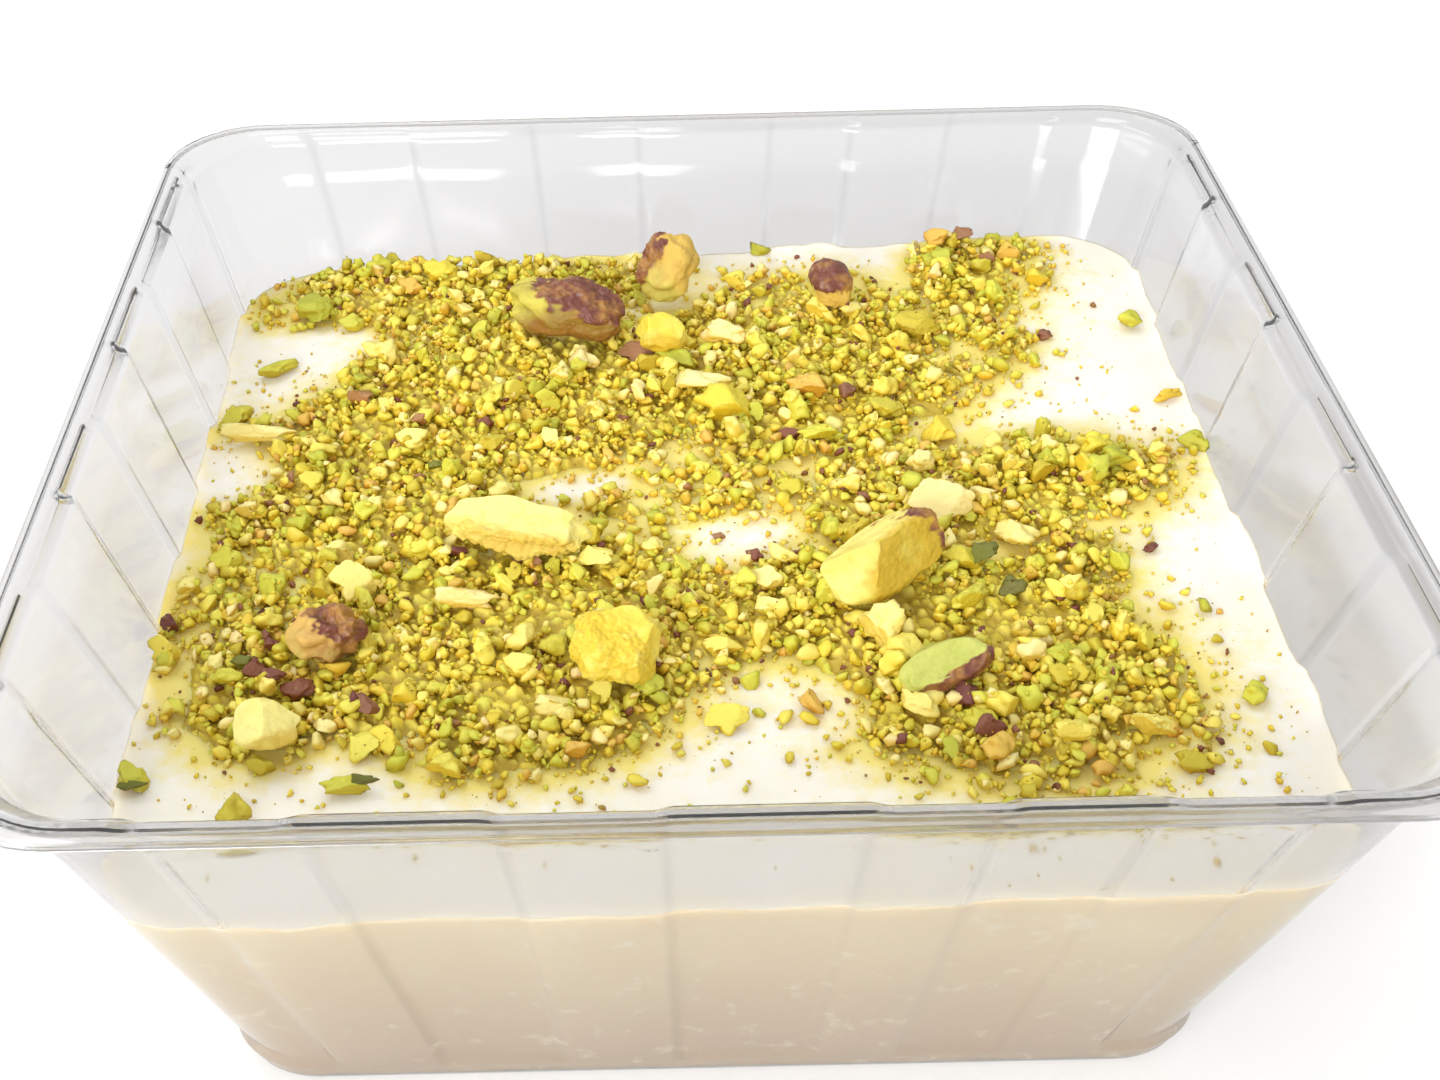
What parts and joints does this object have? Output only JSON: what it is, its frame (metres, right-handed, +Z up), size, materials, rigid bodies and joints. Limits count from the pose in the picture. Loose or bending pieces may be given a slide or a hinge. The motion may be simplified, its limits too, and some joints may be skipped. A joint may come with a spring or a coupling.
{
  "type": "tub of rice pudding",
  "caption": "Creamy kheer rice pudding in a clear square ribbed plastic tub, its level top scattered with chopped pistachio and larger kernels.",
  "frame": {"origin": "middle of the flat underside of the tub", "axes": "+Z up out of the tub; -Y towards the viewer of the front wall; +X to the right"},
  "size_m": [0.13, 0.13, 0.0513],
  "materials": {
    "clear_plastic": "clear, glossy, thin rigid plastic",
    "kheer_cream": "soft creamy white with a satin skin",
    "chopped_pistachio": "dry crumb, yellow green and gold",
    "nut_pale": "matt pale yellow broken nut",
    "nut_gold": "matt golden nut",
    "nut_green": "matt lime green nut",
    "nut_skin": "wrinkled purple brown nut skin"
  },
  "bodies": {
    "root": {"tub": "clear_plastic", "kheer": "kheer_cream", "chopped_nuts": "chopped_pistachio", "chopped_nuts_corner": "chopped_pistachio", "kernel_whole_skinned": "nut_skin", "kernel_leaning": "nut_gold", "kernel_half_large": "nut_pale", "kernel_slab": "nut_pale", "chunk_gold": "nut_gold", "chunk_skinned": "nut_skin", "slice_green": "nut_green", "chunk_pale": "nut_pale", "kernel_tip": "nut_skin", "chunk_yellow": "nut_gold"}
  },
  "joints": []
}
